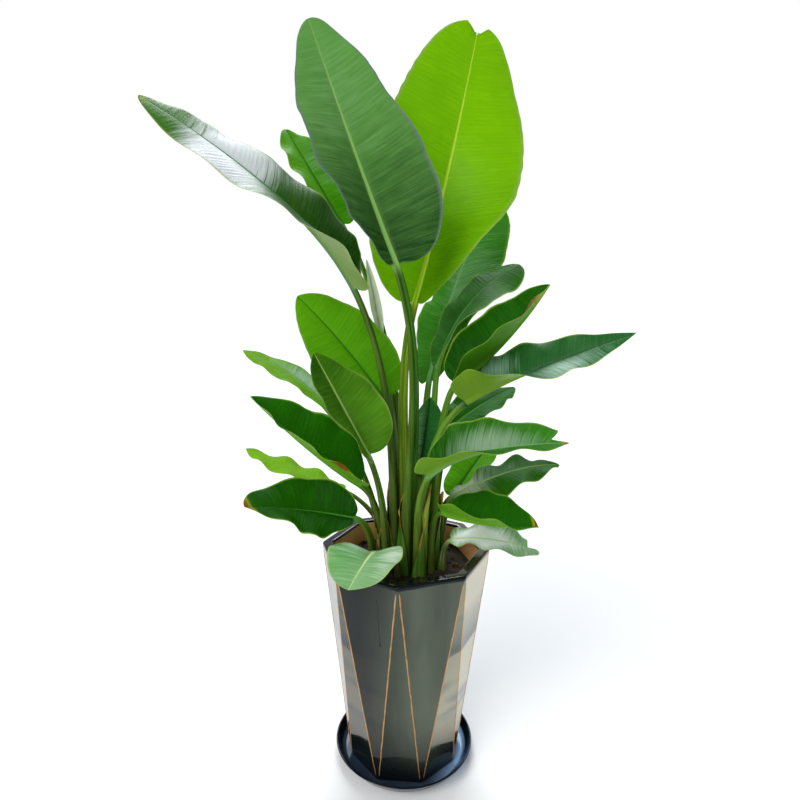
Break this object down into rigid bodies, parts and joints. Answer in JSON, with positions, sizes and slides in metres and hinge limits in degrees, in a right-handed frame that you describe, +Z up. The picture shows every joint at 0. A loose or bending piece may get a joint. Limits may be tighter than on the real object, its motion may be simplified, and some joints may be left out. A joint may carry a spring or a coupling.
{
  "type": "potted bird of paradise plant",
  "caption": "Tall potted bird of paradise: upright paddle-shaped leaves on long stalks, in a tapered faceted glazed planter that stands on a round saucer.",
  "frame": {"origin": "centre of the saucer's flat underside, on the floor", "axes": "+Z up along the pot's axis, -Y to the front, where the planter's front ridges meet"},
  "size_m": [0.8865, 0.5884, 1.555],
  "materials": {
    "black_glaze": "glossy black glaze with slight waves, blue-grey in the light",
    "gold_lustre": "worn tan-gold lustre line painted along each ridge",
    "bare_clay": "unglazed tan clay inside the pot",
    "potting_soil": "loose dark brown potting mix with bark and grit",
    "deep_green_leaf": "waxy dark green leaf with fine side veins",
    "blue_green_leaf": "waxy blue-green leaf with a grey sheen",
    "mid_green_leaf": "waxy mid-green leaf with a light midrib",
    "yellow_green_leaf": "thin yellow-green leaf that lets light through",
    "pale_green_leaf": "pale green leaf with a matt bloom"
  },
  "bodies": {
    "root": {"saucer": "black_glaze", "pot": "black_glaze", "soil": "potting_soil", "leaf_crown_front": "deep_green_leaf", "leaf_crown_back": "yellow_green_leaf", "leaf_high_left": "blue_green_leaf", "leaf_upper_left": "mid_green_leaf", "leaf_young_rolled": "pale_green_leaf", "leaf_upper_right": "blue_green_leaf", "leaf_round_right": "blue_green_leaf", "leaf_browned_right": "deep_green_leaf", "leaf_long_right": "blue_green_leaf", "leaf_behind_right": "mid_green_leaf", "leaf_torn_right": "deep_green_leaf", "leaf_wavy_right": "mid_green_leaf", "leaf_low_right": "deep_green_leaf", "leaf_lowest_right": "pale_green_leaf", "leaf_back_right": "mid_green_leaf", "leaf_centre_folded": "blue_green_leaf", "leaf_mid_left": "mid_green_leaf", "leaf_front_left": "mid_green_leaf", "leaf_narrow_left": "yellow_green_leaf", "leaf_spotted_left": "deep_green_leaf", "leaf_pale_left": "yellow_green_leaf", "leaf_low_left": "deep_green_leaf", "leaf_over_rim": "pale_green_leaf"}
  },
  "joints": []
}
